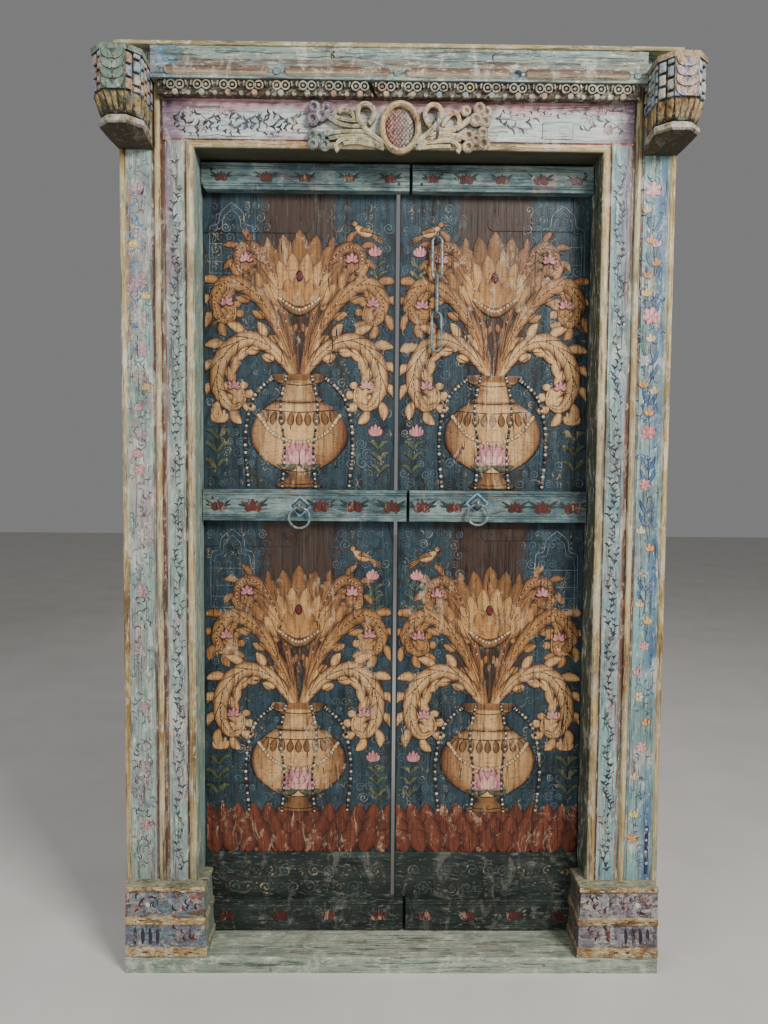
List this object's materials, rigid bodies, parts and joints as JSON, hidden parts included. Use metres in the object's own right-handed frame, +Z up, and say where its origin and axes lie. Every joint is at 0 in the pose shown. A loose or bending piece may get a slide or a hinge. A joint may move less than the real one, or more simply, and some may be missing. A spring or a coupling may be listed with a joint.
{
  "type": "carved temple door",
  "caption": "Carved and painted double door in its timber frame, with capitals, crest, pull rings, pivots and a hanging door chain.",
  "frame": {"origin": "middle of the threshold's underside, in the plane of the jambs' front faces", "axes": "+X to the right seen from the front, +Y into the house, +Z up"},
  "size_m": [1.31, 0.2675, 2.098],
  "materials": {
    "frame_paint": "worn matt paint in pale aqua with gold, pink and blue",
    "sill_paint": "worn matt pale sage paint",
    "frieze_paint": "worn matt grey-brown paint with pale pendants",
    "bar_paint": "worn matt brown-orange paint",
    "crest_paint": "worn matt ochre paint with cream, pink and grey flowers",
    "capital_paint": "worn matt teal, ochre and lavender paint",
    "plinth_paint": "worn matt gold, lavender and maroon paint",
    "panel_paint": "painted panels in ochre, brown and dark blue-teal under a worn varnish",
    "rail_paint": "teal paint with maroon flowers",
    "bare_wood": "bare sawn timber",
    "iron": "painted and rubbed wrought iron"
  },
  "bodies": {
    "frame": {"threshold": "sill_paint", "lintel": "frame_paint", "lintel_patch": "frame_paint", "lintel_staple": "iron", "header_beam": "bare_wood", "frieze": "frieze_paint", "cornice_board": "frame_paint", "cornice_cap": "frame_paint", "cornice_bars": "bar_paint", "cornice_buttons": "bar_paint", "crest": "crest_paint", "inner_jamb_left": "frame_paint", "inner_jamb_right": "frame_paint", "pilaster_left": "frame_paint", "pilaster_right": "frame_paint", "capital_left": "capital_paint", "capital_right": "capital_paint", "plinth_inner_left": "plinth_paint", "plinth_inner_right": "plinth_paint", "plinth_outer_left": "plinth_paint", "plinth_outer_right": "plinth_paint"},
    "left_leaf": {"stile_left": "panel_paint", "board_1_left": "panel_paint", "board_2_left": "panel_paint", "board_3_left": "panel_paint", "kick_board_left": "rail_paint", "top_rail_left": "rail_paint", "middle_rail_left": "rail_paint", "bottom_rail_left": "rail_paint", "top_strap_left": "panel_paint", "middle_strap_left": "panel_paint", "bottom_strap_left": "panel_paint", "ring_plate_left": "iron", "ring_staple_left": "iron"},
    "right_leaf": {"stile_right": "panel_paint", "board_1_right": "panel_paint", "board_2_right": "panel_paint", "board_3_right": "panel_paint", "kick_board_right": "rail_paint", "top_rail_right": "rail_paint", "middle_rail_right": "rail_paint", "bottom_rail_right": "rail_paint", "top_strap_right": "panel_paint", "middle_strap_right": "panel_paint", "bottom_strap_right": "panel_paint", "ring_plate_right": "iron", "ring_staple_right": "iron", "chain_staple": "iron"},
    "left_ring": {"ring_left": "iron"},
    "right_ring": {"ring_right": "iron"},
    "chain_link_1": {"chain_link_1": "iron"},
    "chain_link_2": {"chain_link_2": "iron"},
    "chain_link_3": {"chain_link_3": "iron"}
  },
  "joints": [
    {"name": "right_leaf_hinge", "type": "hinge", "parent": "frame", "child": "right_leaf", "pos_m": [0.478, 0.11, 0.042], "axis": [0, 0, -1], "range_deg": [0, 90]},
    {"name": "left_leaf_hinge", "type": "hinge", "parent": "frame", "child": "left_leaf", "pos_m": [-0.478, 0.11, 0.042], "axis": [0, 0, 1], "range_deg": [0, 76.5]},
    {"name": "left_ring_swing", "type": "hinge", "parent": "left_leaf", "child": "left_ring", "pos_m": [-0.2235, 0.0465, 1.0748], "axis": [-1, 0, 0], "range_deg": [0, 120]},
    {"name": "right_ring_swing", "type": "hinge", "parent": "right_leaf", "child": "right_ring", "pos_m": [0.195, 0.0465, 1.0848], "axis": [-1, 0, 0], "range_deg": [0, 120]},
    {"name": "chain_link_1_swing", "type": "hinge", "parent": "right_leaf", "child": "chain_link_1", "pos_m": [0.094, 0.069, 1.70975], "axis": [-1, 0, 0], "range_deg": [0, 120]},
    {"name": "chain_link_2_swing", "type": "hinge", "parent": "chain_link_1", "child": "chain_link_2", "pos_m": [0.094, 0.069, 1.61525], "axis": [-1, 0, 0], "range_deg": [0, 60]},
    {"name": "chain_link_3_swing", "type": "hinge", "parent": "chain_link_2", "child": "chain_link_3", "pos_m": [0.094, 0.069, 1.53435], "axis": [-1, 0, 0], "range_deg": [0, 60]}
  ],
  "couplings": [
    {"joint": "left_leaf_hinge", "follows": "right_leaf_hinge", "ratio": 0.85}
  ]
}
